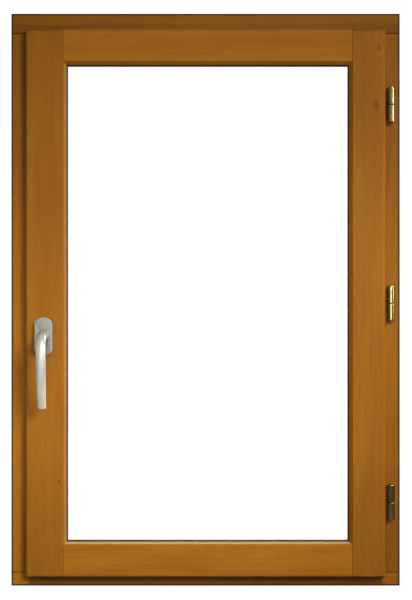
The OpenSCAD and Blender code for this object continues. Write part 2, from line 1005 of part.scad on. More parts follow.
module faceplate_screws() {
    color(steel) for (z = [plate_lo + end_wood / 2, plate_hi - end_wood / 2]) {
        bar_x(-body_x, -body_x + plate_head_t, lock_y, z, 2 * plate_screw_d);
        bar_x(-body_x + plate_head_t, -body_x + plate_screw_len, lock_y, z, plate_screw_d);
    }
}

module faceplate() {
    half = roller_pin_d / 2 + 0.3;
    color(satin) difference() {
        block([-body_x, lock_y - plate_w / 2, plate_lo],
            [-body_x + plate_t, lock_y + plate_w / 2, plate_hi]);
        for (z = roller_zs)
            block([-body_x - eps, lock_y - half, z - throw - half],
                [-body_x + plate_t + eps, lock_y + half, z + half]);
        faceplate_screws();
    }
}

// The space inside the gearbox for the rod where it runs in and out
module rod_slots() {
    half = rod_w / 2 + 0.3;
    block([-body_x, lock_y - half, handle_z - case_h - eps],
        [rack_x + 1.3, lock_y + half, handle_z + case_h + eps]);
}

module gearbox_case() {
    inside = rod_w / 2 + case_gap;
    color(steel) difference() {
        union() {
            difference() {
                block([rod_x, lock_y - case_y, handle_z - case_h],
                    [case_back, lock_y + inside, handle_z + case_h]);
                block([rod_x - eps, lock_y - inside, handle_z - case_h + case_wall],
                    [case_back - case_wall, lock_y + inside + eps, handle_z + case_h - case_wall]);
            }
            for (s = [-1, 1])
                bar_y(lock_y - inside - bit, lock_y + inside,
                    spindle_x, handle_z + s * screw_pitch / 2, screw_boss_d);
        }
        rod_slots();
        bar_y(lock_y - case_y - eps, lock_y, spindle_x, handle_z, 2 * (hub_r + run_gap));
        handle_screws();
    }
}

module gearbox_cover() {
    inside = rod_w / 2 + case_gap;
    color(steel) difference() {
        block([rod_x, lock_y + inside, handle_z - case_h],
            [case_back, lock_y + case_y, handle_z + case_h]);
        bar_y(lock_y, lock_y + case_y + eps, spindle_x, handle_z, 2 * (hub_r + run_gap));
    }
}

// Involute teeth at module 1 with a 20 degree pressure angle
pressure = 20;
base_r = pitch_r * cos(pressure);
tip_r = pitch_r + 1;
root_r = pitch_r - dedendum;
function inv(a) = tan(a) * 180 / PI - a;
function half_tooth(r) = let (a = r > base_r ? acos(base_r / r) : 0)
    (PI / 2 - backlash) / (2 * pitch_r) * 180 / PI + inv(pressure) - inv(a);
tooth_radii = [for (i = [0:5]) base_r + (tip_r - base_r) * i / 5];

module pinion_outline() {
    flank = concat([root_r], tooth_radii);
    polygon([for (k = [0:teeth - 1])
        for (s = [-1, 1])
            for (j = [0:len(flank) - 1])
                let (r = s < 0 ? flank[j] : flank[len(flank) - 1 - j],
                    a = 360 * k / teeth + s * half_tooth(r))
                [r * cos(a), r * sin(a)]]);
}

module gearbox_pinion() {
    face = rod_w / 2 - 1;
    hole = spindle + 2 * square_gap;
    color(steel) difference() {
        union() {
            along_y(lock_y - face, lock_y + face) translate([spindle_x, handle_z]) pinion_outline();
            bar_y(lock_y - case_y, lock_y + case_y - 0.3, spindle_x, handle_z, 2 * hub_r);
        }
        block([spindle_x - hole / 2, lock_y - case_y - eps, handle_z - hole / 2],
            [spindle_x + hole / 2, lock_y + case_y + eps, handle_z + hole / 2]);
    }
}

rod_lo = plate_lo + end_wood + throw + 1;
rod_hi = plate_hi - end_wood - 1;

module rack_outline() {
    half = (PI / 2 - backlash) / 2;
    lean = tan(pressure);
    for (i = [-4:7])
        translate([rack_x, handle_z + (i + 0.5) * PI]) polygon([
            [-dedendum - bit, half + dedendum * lean], [-dedendum, half + dedendum * lean],
            [1, half - lean], [1, lean - half],
            [-dedendum, -half - dedendum * lean], [-dedendum - bit, -half - dedendum * lean]]);
}

module drive_rod() {
    face = rod_w / 2;
    color(steel) difference() {
        union() {
            block([rod_x, lock_y - face, rod_lo], [rod_back, lock_y + face, rod_hi]);
            along_y(lock_y - face, lock_y + face) rack_outline();
        }
        for (z = roller_zs)
            bar_x(rod_x - eps, rod_back + eps, lock_y, z, roller_pin_d);
    }
}

roller_gap = 0.6;
pin_head_gap = 0.2;
pin_head_t = 0.8;

module cam_pins() {
    head_x = roller_x - pin_head_gap;
    color(steel) for (z = roller_zs)
        union() {
            bar_x(head_x, rod_back, lock_y, z, roller_pin_d);
            bar_x(head_x - pin_head_t, head_x, lock_y, z, 1.5 * roller_pin_d);
        }
}

module roller(z) {
    color(brass) difference() {
        bar_x(roller_x, -body_x - roller_gap, lock_y, z, roller_d);
        bar_x(roller_x - eps, -body_x, lock_y, z, roller_pin_d + 2 * run_gap);
    }
}

module roller_top() {
    roller(roller_zs[0]);
}

module roller_middle() {
    roller(roller_zs[1]);
}

module roller_bottom() {
    roller(roller_zs[2]);
}

frame_head();
frame_sill();
frame_jamb_lock();
frame_jamb_hinge();
frame_gasket();
keep_top();
keep_middle();
keep_bottom();
keep_screws();
hinge_top_lower();
hinge_top_pin();
hinge_top_ring();
hinge_top_upper();
hinge_middle_lower();
hinge_middle_pin();
hinge_middle_ring();
hinge_middle_upper();
hinge_bottom_lower();
hinge_bottom_pin();
hinge_bottom_ring();
hinge_bottom_upper();
sash_stile_lock();
sash_stile_hinge();
sash_rail_top();
sash_rail_bottom();
weather_bar();
sash_gasket();
glass_inner();
glass_outer();
spacer_bar();
edge_seal();
setting_blocks();
glazing_seal_inner();
glazing_seal_outer();
bead_top();
bead_bottom();
bead_lock();
bead_hinge();
bead_pins();
handle_base();
handle_rosette();
handle_collar();
handle_screws();
gearbox_case();
gearbox_cover();
faceplate();
faceplate_screws();
handle_lever();
handle_spindle();
grub_screw();
gearbox_pinion();
drive_rod();
cam_pins();
roller_top();
roller_middle();
roller_bottom();
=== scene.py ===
import json
import math

import bmesh
import bpy
from mathutils import Matrix, Vector


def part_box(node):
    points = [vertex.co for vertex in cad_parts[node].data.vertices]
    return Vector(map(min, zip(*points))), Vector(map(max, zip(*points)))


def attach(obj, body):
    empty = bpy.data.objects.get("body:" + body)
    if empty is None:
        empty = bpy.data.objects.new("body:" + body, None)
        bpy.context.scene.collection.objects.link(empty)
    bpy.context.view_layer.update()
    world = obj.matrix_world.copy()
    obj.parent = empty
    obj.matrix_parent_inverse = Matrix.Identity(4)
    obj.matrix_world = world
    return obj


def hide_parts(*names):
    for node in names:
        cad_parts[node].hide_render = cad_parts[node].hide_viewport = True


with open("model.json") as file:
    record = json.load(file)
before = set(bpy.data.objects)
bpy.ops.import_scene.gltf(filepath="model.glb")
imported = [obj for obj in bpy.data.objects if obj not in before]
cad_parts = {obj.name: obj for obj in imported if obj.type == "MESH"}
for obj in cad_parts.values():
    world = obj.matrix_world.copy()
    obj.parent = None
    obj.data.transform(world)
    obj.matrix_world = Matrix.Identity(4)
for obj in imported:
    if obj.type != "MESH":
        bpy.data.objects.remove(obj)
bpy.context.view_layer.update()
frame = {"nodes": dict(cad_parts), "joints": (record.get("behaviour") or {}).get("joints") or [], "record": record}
nodes = frame["nodes"]
mm = 0.001
tiny = 0.02 * mm


# Places, all read from the frame
def jointPlace(name):
    return next(Vector(j["pos_m"]) for j in frame["joints"] if j["name"] == name)


def span(node):
    low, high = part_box(node)
    return {"x0": low.x, "x1": high.x, "y0": low.y, "y1": high.y, "z0": low.z, "z1": high.z}


profile = {"chamfer": 8.5 * mm, "lap": 18 * mm, "jambFace": 34 * mm, "headFace": 36 * mm,
           "sillFace": 25 * mm, "noseHigh": 14 * mm, "gasketIn": 11 * mm, "beadBack": 6 * mm}

jamb = span("frame_jamb_lock")
head = span("frame_head")
sill = span("frame_sill")
stileL = span("sash_stile_lock")
stileR = span("sash_stile_hinge")
hingeAxis = jointPlace("sash_swing")
handleAxis = jointPlace("handle_turn")
halfW = head["x1"]
frameTop = head["z1"]
roomY = jamb["y0"]
outY = jamb["y1"]
sashY = stileL["y0"]
sashBack = stileL["y1"]
lipX = stileR["x1"]
lipLow = stileL["z0"]
lipHigh = stileL["z1"]
beadL = span("bead_lock")["x1"]
beadR = span("bead_hinge")["x0"]
beadLow = span("bead_bottom")["z1"]
beadHigh = span("bead_top")["z0"]
sightL = beadL + profile["beadBack"]
sightR = beadR - profile["beadBack"]
sightLow = beadLow + profile["beadBack"]
sightHigh = beadHigh - profile["beadBack"]
squareL = sightL - profile["chamfer"]
squareR = sightR + profile["chamfer"]
squareLow = sightLow - profile["chamfer"]
squareHigh = sightHigh + profile["chamfer"]
wallX = halfW - profile["jambFace"]
headZ = frameTop - profile["headFace"]
sillZ = profile["sillFace"]
bodyX = lipX - profile["lap"]
bodyLow = lipLow + profile["lap"]
bodyHigh = lipHigh - profile["lap"]
stopX = span("frame_gasket")["x1"] - profile["gasketIn"]


# Shader helpers
def newMaterial(name):
    material = bpy.data.materials.new(name)
    material.use_nodes = True
    tree = material.node_tree
    tree.nodes.clear()
    out = tree.nodes.new("ShaderNodeOutputMaterial")
    shader = tree.nodes.new("ShaderNodeBsdfPrincipled")
    tree.links.new(shader.outputs[0], out.inputs["Surface"])
    return material, tree, shader


def add(tree, kind, **settings):
    node = tree.nodes.new(kind)
    for key, value in settings.items():
        setattr(node, key, value)
    return node


# Sets a socket's constant, or links another socket to it
def feed(tree, socket, value):
    if isinstance(value, bpy.types.NodeSocket):
        tree.links.new(value, socket)
    else:
        socket.default_value = value


def maths(tree, operation, a, b=0.0):
    node = add(tree, "ShaderNodeMath", operation=operation)
    feed(tree, node.inputs[0], a)
    feed(tree, node.inputs[1], b)
    return node.outputs[0]


def mixColour(tree, factor, a, b):
    node = add(tree, "ShaderNodeMix", data_type="RGBA")
    feed(tree, node.inputs[0], factor)
    feed(tree, node.inputs[6], a)
    feed(tree, node.inputs[7], b)
    return node.outputs[2]


def ramp(tree, value, low, high, kind="SMOOTHSTEP"):
    node = add(tree, "ShaderNodeMapRange", interpolation_type=kind, clamp=True)
    feed(tree, node.inputs["Value"], value)
    feed(tree, node.inputs["From Min"], low)
    feed(tree, node.inputs["From Max"], high)
    return node.outputs[0]


def noise(tree, place, scale, detail=3.0, rough=0.5, stretch=(1, 1, 1)):
    mapping = add(tree, "ShaderNodeMapping")
    feed(tree, mapping.inputs["Vector"], place)
    feed(tree, mapping.inputs["Scale"], stretch)
    node = add(tree, "ShaderNodeTexNoise")
    feed(tree, node.inputs["Vector"], mapping.outputs[0])
    feed(tree, node.inputs["Scale"], scale)
    feed(tree, node.inputs["Detail"], detail)
    feed(tree, node.inputs["Roughness"], rough)
    return node.outputs["Fac"]


def bumped(tree, shader, height, strength, depth):
    node = add(tree, "ShaderNodeBump")
    feed(tree, node.inputs["Strength"], strength)
    feed(tree, node.inputs["Distance"], depth)
    feed(tree, node.inputs["Height"], height)
    feed(tree, shader.inputs["Normal"], node.outputs[0])


def srgb(r, g, b):
    def linear(c):
        c /= 255
        return c / 12.92 if c <= 0.04045 else ((c + 0.055) / 1.055) ** 2.4
    return linear(r), linear(g), linear(b), 1.0


def scaled(colour, factor):
    return [c * factor for c in colour[:3]] + [1]


def makeGroup(name, outs):
    group = bpy.data.node_groups.new(name, "ShaderNodeTree")
    group.interface.new_socket(name="Place", in_out="INPUT", socket_type="NodeSocketVector")
    for label in outs:
        group.interface.new_socket(name=label, in_out="OUTPUT", socket_type="NodeSocketFloat")
    return group, group.nodes.new("NodeGroupInput"), group.nodes.new("NodeGroupOutput")


grainLook = {"warp": 6, "bend": 24.0, "ringX": 70.0, "ringY": 45.0, "fibre": 240, "pore": 820,
             "poreFrom": 0.58, "poreTo": 0.70, "cloud": 4.5}
wearLook = {"brush": 1400, "tarnish": 90, "spots": 600, "spotFrom": 0.56, "spotTo": 0.70}


# Wood masks: the grain runs along the local Z of "Place"
def buildWoodGrain():
    tree, start, end = makeGroup("woodGrain", ("Fibre", "Figure", "Pore", "Cloud"))
    place = start.outputs["Place"]
    split = add(tree, "ShaderNodeSeparateXYZ")
    feed(tree, split.inputs[0], place)
    warp = noise(tree, place, grainLook["warp"], 3, 0.5, (1, 1, 0.18))
    across = maths(tree, "ADD", maths(tree, "MULTIPLY", split.outputs[0], grainLook["ringX"]),
                   maths(tree, "MULTIPLY", split.outputs[1], grainLook["ringY"]))
    bent = maths(tree, "ADD", across, maths(tree, "MULTIPLY", warp, grainLook["bend"]))
    figure = maths(tree, "ADD", maths(tree, "MULTIPLY", maths(tree, "SINE", bent), 0.5), 0.5)
    fibre = noise(tree, place, grainLook["fibre"], 5, 0.62, (1, 1, 0.03))
    feed(tree, end.inputs["Fibre"], fibre)
    feed(tree, end.inputs["Figure"], figure)
    pore = noise(tree, place, grainLook["pore"], 2, 0.5, (1, 1, 0.045))
    feed(tree, end.inputs["Pore"], ramp(tree, pore, grainLook["poreFrom"], grainLook["poreTo"]))
    cloud = noise(tree, place, grainLook["cloud"], 3, 0.55, (1, 1, 0.45))
    feed(tree, end.inputs["Cloud"], cloud)
    return tree


# Metal masks: fine brushing, a slow tarnish and small spots
def buildMetalWear():
    tree, start, end = makeGroup("metalWear", ("Brush", "Tarnish", "Spots"))
    place = start.outputs["Place"]
    brush = noise(tree, place, wearLook["brush"], 2, 0.5, (1, 1, 0.08))
    feed(tree, end.inputs["Brush"], brush)
    feed(tree, end.inputs["Tarnish"], noise(tree, place, wearLook["tarnish"], 4, 0.6))
    spots = noise(tree, place, wearLook["spots"], 3, 0.6)
    feed(tree, end.inputs["Spots"], ramp(tree, spots, wearLook["spotFrom"], wearLook["spotTo"]))
    return tree


woodGrain = buildWoodGrain()
metalWear = buildMetalWear()
# The dark line colour serves joint lines and painted shade; the pale beige one is a painted highlight on the
# chamfers
woodLook = {"light": srgb(184, 120, 30), "dark": srgb(142, 82, 12), "pore": srgb(84, 42, 4),
            "line": srgb(48, 22, 3), "pale": srgb(206, 190, 140), "roughness": 0.50,
            "shine": 0.08, "coat": 0.02, "coatRoughness": 0.38, "fibre": 0.40, "figure": 0.08,
            "cloud": 0.44, "darkFrom": 0.22, "lightTo": 0.70, "poreDepth": 0.22,
            "knotDepth": 0.5, "roughSpread": 0.16, "bump": 0.16, "bumpDeep": 0.3 * mm}


# Where the dark lines of each body fade out, going back from its room face
lineDepth = {"frame": (roomY + 2 * mm, roomY + 5 * mm), "sash": (sashY + 9 * mm, sashY + 12 * mm)}


knotShape = {"squash": 0.6, "heart": 0.3, "edge": 2.6}


# Dark at a knot's heart and fading outwards, stretched along the grain
def knotMask(tree, raw, knot):
    x, z, size = knot
    squash = knotShape["squash"]
    flat = add(tree, "ShaderNodeMapping")
    feed(tree, flat.inputs["Vector"], raw)
    feed(tree, flat.inputs["Scale"], (1, 0, squash))
    away = add(tree, "ShaderNodeVectorMath", operation="DISTANCE")
    feed(tree, away.inputs[0], flat.outputs[0])
    feed(tree, away.inputs[1], (x, 0, z * squash))
    fade = ramp(tree, away.outputs["Value"], size * knotShape["heart"], size * knotShape["edge"])
    return maths(tree, "SUBTRACT", 1.0, fade)


lineCore = 0.45  # share of a line's half width that is fully dark


# A soft dark line on the plane where an axis has a given value
def lineMask(tree, raw, axis, value, half):
    split = add(tree, "ShaderNodeSeparateXYZ")
    feed(tree, split.inputs[0], raw)
    away = maths(tree, "ABSOLUTE", maths(tree, "SUBTRACT", split.outputs[axis], value))
    return maths(tree, "SUBTRACT", 1.0, ramp(tree, away, half * lineCore, half))


# Keeps a line to the room side: it fades out over a few millimetres of depth
def frontMask(tree, raw, body):
    split = add(tree, "ShaderNodeSeparateXYZ")
    feed(tree, split.inputs[0], raw)
    near, far = lineDepth[body]
    return maths(tree, "SUBTRACT", 1.0, ramp(tree, split.outputs[1], near, far))


# Painted shadow of the sash lip on the sill: everything below a height and within a half width
def shadeMask(tree, raw, half, top):
    split = add(tree, "ShaderNodeSeparateXYZ")
    feed(tree, split.inputs[0], raw)
    side = ramp(tree, maths(tree, "ABSOLUTE", split.outputs[0]), half - 3 * mm, half + 3 * mm)
    high = ramp(tree, split.outputs[2], top - 2 * mm, top + 2 * mm)
    return maths(tree, "MULTIPLY", maths(tree, "SUBTRACT", 1.0, side),
                 maths(tree, "SUBTRACT", 1.0, high))


def woodMaterial(name, look):
    material, tree, shader = newMaterial(name)
    raw = add(tree, "ShaderNodeTexCoord").outputs["Object"]
    mapping = add(tree, "ShaderNodeMapping")
    feed(tree, mapping.inputs["Vector"], raw)
    seed = look["seed"]
    feed(tree, mapping.inputs["Location"], (seed * 1.37, seed * 0.71, seed * 2.13))
    if look["along"] == "x":
        feed(tree, mapping.inputs["Rotation"], (0, math.pi / 2, 0))
    group = add(tree, "ShaderNodeGroup", node_tree=woodGrain)
    feed(tree, group.inputs["Place"], mapping.outputs[0])
    fibre, figure, pore, cloud = (group.outputs[k] for k in ("Fibre", "Figure", "Pore", "Cloud"))
    blend = maths(tree, "MULTIPLY", fibre, woodLook["fibre"])
    blend = maths(tree, "ADD", blend, maths(tree, "MULTIPLY", figure, woodLook["figure"]))
    blend = maths(tree, "ADD", blend, maths(tree, "MULTIPLY", cloud, woodLook["cloud"]))
    blend = ramp(tree, blend, woodLook["darkFrom"], woodLook["lightTo"], "LINEAR")
    colour = mixColour(tree, blend, scaled(woodLook["dark"], look["tone"]),
                       scaled(woodLook["light"], look["tone"]))
    mask = maths(tree, "MULTIPLY", pore, woodLook["poreDepth"])
    colour = mixColour(tree, mask, colour, woodLook["pore"])
    for knot in look.get("knots", ()):
        mask = maths(tree, "MULTIPLY", knotMask(tree, raw, knot), woodLook["knotDepth"])
        colour = mixColour(tree, mask, colour, woodLook["pore"])
    # Painted shade bands: along the lip top, above the lip, and towards the top and bottom
    for axis, value, half, depth in look.get("stains", ()):
        mask = maths(tree, "MULTIPLY", lineMask(tree, raw, axis, value, half), depth)
        colour = mixColour(tree, mask, colour, woodLook["line"])
    front = frontMask(tree, raw, look["body"])
    # Dark lines: real joint lines, and painted shade along the frame's outer edges and the glass edges
    for axis, value, half, depth in look.get("lines", ()):
        mask = maths(tree, "MULTIPLY", lineMask(tree, raw, axis, value, half), depth)
        mask = maths(tree, "MULTIPLY", mask, front)
        colour = mixColour(tree, mask, colour, woodLook["line"])
    # Painted highlight: a pale line on the chamfers that face the light
    for axis, value, half, depth in look.get("pale", ()):
        mask = maths(tree, "MULTIPLY", lineMask(tree, raw, axis, value, half), depth)
        colour = mixColour(tree, mask, colour, woodLook["pale"])
    # Painted shadow: the sill face under the sash lip is darkened
    if "shade" in look:
        half, top, depth = look["shade"]
        mask = maths(tree, "MULTIPLY", shadeMask(tree, raw, half, top), depth)
        colour = mixColour(tree, mask, colour, woodLook["line"])
    feed(tree, shader.inputs["Base Color"], colour)
    spread = woodLook["roughSpread"]
    rough = maths(tree, "MULTIPLY", fibre, spread)
    rough = maths(tree, "ADD", rough, woodLook["roughness"] - spread / 2)
    feed(tree, shader.inputs["Roughness"], rough)
    feed(tree, shader.inputs["Specular IOR Level"], woodLook["shine"])
    feed(tree, shader.inputs["Coat Weight"], woodLook["coat"])
    feed(tree, shader.inputs["Coat Roughness"], woodLook["coatRoughness"])
    height = maths(tree, "SUBTRACT", maths(tree, "MULTIPLY", fibre, 0.6), pore)
    bumped(tree, shader, height, woodLook["bump"], woodLook["bumpDeep"])
    return material


metalShift = {"tarnishFrom": 0.35, "tarnishTo": 0.7, "spotDark": 0.4, "uneven": 0.25,
              "roughDrop": 0.1, "bumpDeep": 0.05 * mm}


def metalMaterial(name, look):
    material, tree, shader = newMaterial(name)
    group = add(tree, "ShaderNodeGroup", node_tree=metalWear)
    place = add(tree, "ShaderNodeTexCoord").outputs["Object"]
    feed(tree, group.inputs["Place"], place)
    tarnish = ramp(tree, group.outputs["Tarnish"], metalShift["tarnishFrom"],
                   metalShift["tarnishTo"])
    colour = mixColour(tree, tarnish, look["base"], look["dull"])
    # Painted highlight: the part turns lighter towards its bottom, standing in for light on the lower grip
    if "polish" in look:
        above, below, bright = look["polish"]
        split = add(tree, "ShaderNodeSeparateXYZ")
        feed(tree, split.inputs[0], place)
        colour = mixColour(tree, ramp(tree, split.outputs[2], above, below), colour, bright)
    spots = maths(tree, "MULTIPLY", group.outputs["Spots"], look["spotted"])
    colour = mixColour(tree, spots, colour, scaled(look["dull"], metalShift["spotDark"]))
    feed(tree, shader.inputs["Base Color"], colour)
    feed(tree, shader.inputs["Metallic"], look["metal"])
    uneven = look.get("uneven", metalShift["uneven"])
    rough = maths(tree, "MULTIPLY", group.outputs["Tarnish"], uneven)
    rough = maths(tree, "ADD", rough, look["roughness"] - metalShift["roughDrop"])
    feed(tree, shader.inputs["Roughness"], rough)
    bumped(tree, shader, group.outputs["Brush"], look["brushed"], metalShift["bumpDeep"])
    return material


def softMaterial(name, base, dull, roughness):
    material, tree, shader = newMaterial(name)
    grain = noise(tree, add(tree, "ShaderNodeTexCoord").outputs["Object"], 350, 4, 0.6)
    colour = mixColour(tree, ramp(tree, grain, 0.3, 0.7), base, dull)
    feed(tree, shader.inputs["Base Color"], colour)
    rough = maths(tree, "ADD", maths(tree, "MULTIPLY", grain, 0.2), roughness - 0.1)
    feed(tree, shader.inputs["Roughness"], rough)
    bumped(tree, shader, grain, 0.15, 0.1 * mm)
    return material


def glassMaterial():
    material, tree, shader = newMaterial("clearGlass")
    dust = noise(tree, add(tree, "ShaderNodeTexCoord").outputs["Object"], 40, 3, 0.6)
    colour = mixColour(tree, dust, srgb(254, 255, 254), srgb(249, 251, 250))
    feed(tree, shader.inputs["Base Color"], colour)
    feed(tree, shader.inputs["Roughness"], 0.0)
    feed(tree, shader.inputs["IOR"], 1.45)
    feed(tree, shader.inputs["Transmission Weight"], 1.0)
    return material


# Mesh helpers
def finishMesh(work, name, material, body, replaced, smoothAngle=35, second=None):
    bmesh.ops.recalc_face_normals(work, faces=work.faces)
    mesh = bpy.data.meshes.new(name)
    work.to_mesh(mesh)
    work.free()
    mesh.materials.append(material)
    if second:
        mesh.materials.append(second)
    for face in mesh.polygons:
        face.use_smooth = True
    mesh.set_sharp_from_angle(angle=math.radians(smoothAngle))
    piece = bpy.data.objects.new(name, mesh)
    bpy.context.scene.collection.objects.link(piece)
    even = piece.modifiers.new("evenNormals", "WEIGHTED_NORMAL")
    even.keep_sharp = True
    even.weight = 100
    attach(piece, body)
    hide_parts(*replaced)
    return piece


# A copy of a node's mesh with its triangles joined back into flat faces
def cleanCopy(node):
    work = bmesh.new()
    work.from_mesh(nodes[node].data)
    bmesh.ops.remove_doubles(work, verts=work.verts, dist=tiny)
    bmesh.ops.dissolve_limit(work, angle_limit=math.radians(0.5), verts=work.verts,
                             edges=work.edges)
    return work


# True where both ends of an edge lie on the line or plane that is given
def lies(edge, x=None, y=None, z=None, slack=0.05 * mm):
    return all(want is None or abs(v.co[axis] - want) < slack
               for v in edge.verts for axis, want in enumerate((x, y, z)))


def roundOff(work, picked, radius, segments):
    if picked:
        bmesh.ops.bevel(work, geom=picked, offset=radius, offset_type="OFFSET", segments=segments,
                        profile=0.5, affect="EDGES", clamp_overlap=True, material=-1)


def soften(work, lines, radius, segments=3):
    picked = [e for e in work.edges if any(lies(e, *line) for line in lines)]
    roundOff(work, picked, radius, segments)


def softenSharp(work, radius, angle=40, segments=2):
    picked = [e for e in work.edges
              if len(e.link_faces) == 2 and e.calc_face_angle(0) > math.radians(angle)]
    roundOff(work, picked, radius, segments)


# Wood
arris = {"lip": 4.5 * mm, "joint": 0.6 * mm, "frame": 1.6 * mm, "outside": 2 * mm,
         "bead": 1 * mm, "bar": 1.2 * mm, "wide": 3 * mm}

lipFront = [(-lipX, sashY, None), (lipX, sashY, None), (None, sashY, lipLow),
            (None, sashY, lipHigh)]
sashJoints = [(squareL, sashY, None), (squareR, sashY, None), (None, sashY, squareLow),
              (None, sashY, squareHigh)]
beadLine = [(beadL, None, None), (beadR, None, None), (None, None, beadLow),
            (None, None, beadHigh)]
sashOutside = [(-bodyX, sashBack, None), (bodyX, sashBack, None), (None, sashBack, bodyLow),
               (None, sashBack, bodyHigh)]
frameRim = [(-halfW, roomY, None), (halfW, roomY, None), (None, roomY, frameTop),
            (None, roomY, 0), (-halfW, outY, None), (halfW, outY, None), (None, outY, frameTop)]
frameJoints = [(-wallX, roomY, None), (wallX, roomY, None), (None, roomY, headZ),
               (None, roomY, sillZ)]
stopRim = [(-stopX, outY, None), (stopX, outY, None), (None, outY, head["z0"])]
nose = [(None, sill["y1"], 0), (None, sill["y1"], profile["noseHigh"])]

frameCuts = [(frameRim + stopRim, arris["frame"]), (frameJoints, arris["joint"])]
sillCuts = [(frameRim + nose, arris["frame"]), (frameJoints, arris["joint"])]
sashCuts = [(lipFront, arris["lip"]), (sashJoints, arris["joint"]),
            (sashOutside, arris["outside"])]
beadCuts = [(beadLine, arris["bead"])]
edgeShadeHalf = 4.2 * mm
jointHalf = 1.3 * mm
glassShadeHalf = 3.2 * mm
# Painted shade: near-black lines along the frame's outer edges, where the arrises turn away from the light
sideEdgeShade = [(0, -halfW, edgeShadeHalf, 0.95), (0, halfW, edgeShadeHalf, 0.95)]
topEdgeShade = [(2, frameTop, edgeShadeHalf, 0.95)]
lowEdgeShade = [(2, 0, edgeShadeHalf, 0.95)]
headJoint = [(2, headZ, jointHalf, 0.85)]
sillJoint = [(2, sillZ, jointHalf, 0.85)]
railEnds = [(0, squareL, jointHalf, 0.85), (0, squareR, jointHalf, 0.85)]
# Painted shade: dark lines along the sash's glass edges, standing in for the shaded gap between wood and glass
glassEdgeShade = [(0, sightL, glassShadeHalf, 0.92), (0, sightR, glassShadeHalf, 0.92)]
# Painted shade: a dark band along the top of the sash lip, and one on the head just above the lip
lipTopShade = [(2, lipHigh, 7 * mm, 0.28)]
headShadeAboveLip = [(2, lipHigh + 3 * mm, 11 * mm, 0.22)]
highlightIn = 4 * mm  # the painted highlight line on the chamfers that face the light, and its half width
highlightHalf = 2.6 * mm
falloffReach = {"top": 0.5, "bottom": 0.25}


# Painted shade: wood darkened towards the top or the bottom, standing in for light falling off there: how far and
# how much
def falloffShade(top, bottom):
    return [(2, frameTop, falloffReach["top"], top), (2, 0, falloffReach["bottom"], bottom)]



woodPieces = {
    "headWood": {"node": "frame_head", "body": "frame", "seed": 3.1, "along": "x", "tone": 0.75,
                 "cuts": frameCuts, "lines": sideEdgeShade + topEdgeShade + headJoint, "stains": headShadeAboveLip},
    "sillWood": {"node": "frame_sill", "body": "frame", "seed": 5.7, "along": "x", "tone": 0.92,
                 "cuts": sillCuts, "lines": sideEdgeShade + lowEdgeShade + sillJoint,
                 # painted shadow of the lip on the sill face
                 "shade": (lipX - 3 * mm, lipLow, 0.6)},
    "jambLockWood": {"node": "frame_jamb_lock", "body": "frame", "seed": 1.2, "along": "z",
                     "tone": 0.98, "cuts": frameCuts,
                     "lines": sideEdgeShade + headJoint + sillJoint, "stains": falloffShade(0.26, 0.02)},
    "jambHingeWood": {"node": "frame_jamb_hinge", "body": "frame", "seed": 8.4, "along": "z",
                      "tone": 0.81, "cuts": frameCuts,
                      "lines": sideEdgeShade + headJoint + sillJoint, "stains": falloffShade(0.14, 0.2)},
    "stileLockWood": {"node": "sash_stile_lock", "body": "sash", "seed": 2.3, "along": "z",
                      "tone": 0.87, "cuts": sashCuts,
                      "lines": glassEdgeShade, "stains": lipTopShade + falloffShade(0.1, 0.12),
                      "pale": [(0, sightL - highlightIn, highlightHalf, 0.16)],
                      "knots": [(-0.262, 0.19, 1.6 * mm)]},
    "stileHingeWood": {"node": "sash_stile_hinge", "body": "sash", "seed": 6.6, "along": "z",
                       "tone": 0.87, "cuts": sashCuts,
                       "lines": glassEdgeShade, "stains": lipTopShade + falloffShade(0.08, 0.16),
                       "knots": [(0.306, 0.862, 3.2 * mm), (0.310, 0.966, 2.2 * mm)]},
    "railTopWood": {"node": "sash_rail_top", "body": "sash", "seed": 4.9, "along": "x",
                    "tone": 0.90, "cuts": sashCuts,
                    "lines": railEnds + [(2, sightHigh, glassShadeHalf, 0.92)], "stains": lipTopShade},
    "railBottomWood": {"node": "sash_rail_bottom", "body": "sash", "seed": 7.5, "along": "x",
                       "tone": 0.96, "cuts": sashCuts,
                       "lines": railEnds + [(2, sightLow, glassShadeHalf, 0.92)],
                       "pale": [(2, sightLow - highlightIn, highlightHalf, 0.5)]},
    "weatherBarWood": {"node": "weather_bar", "body": "sash", "seed": 9.1, "along": "x",
                       "tone": 0.95, "cuts": []},
    "beadTopWood": {"node": "bead_top", "body": "sash", "seed": 10.3, "along": "x",
                    "tone": 1.0, "cuts": beadCuts},
    "beadBottomWood": {"node": "bead_bottom", "body": "sash", "seed": 11.8, "along": "x",
                       "tone": 1.0, "cuts": beadCuts},
    "beadLockWood": {"node": "bead_lock", "body": "sash", "seed": 12.9, "along": "z",
                     "tone": 1.0, "cuts": beadCuts},
    "beadHingeWood": {"node": "bead_hinge", "body": "sash", "seed": 13.4, "along": "z",
                      "tone": 1.0, "cuts": beadCuts},
}


def buildWood(name, look):
    work = cleanCopy(look["node"])
    for lines, radius in look["cuts"]:
        soften(work, lines, radius, 4 if radius > arris["wide"] else 2)
    if not look["cuts"]:
        softenSharp(work, arris["bar"], 20)
    finishMesh(work, name, woodMaterial(name, look), look["body"], [look["node"]],
               30)


for name, look in woodPieces.items():
    buildWood(name, look)
print("wood done")


# Hinges
hinge = {"radius": 6.5 * mm, "edge": 0.8 * mm, "dome": 2.4 * mm, "bore": 4.05 * mm,
         "stud": 3 * mm, "studRise": 7 * mm, "studIn": 5 * mm, "washerIn": 1.1 * mm,
         "washerGap": 0.05 * mm}
brassLook = {"base": srgb(188, 178, 116), "dull": srgb(168, 156, 96), "metal": 1.0,
             "roughness": 0.25, "spotted": 0.05, "brushed": 0.0, "uneven": 0.04}
washerLook = {"base": srgb(120, 100, 48), "dull": srgb(80, 62, 26), "metal": 1.0,
              "roughness": 0.45, "spotted": 0.4, "brushed": 0.2}

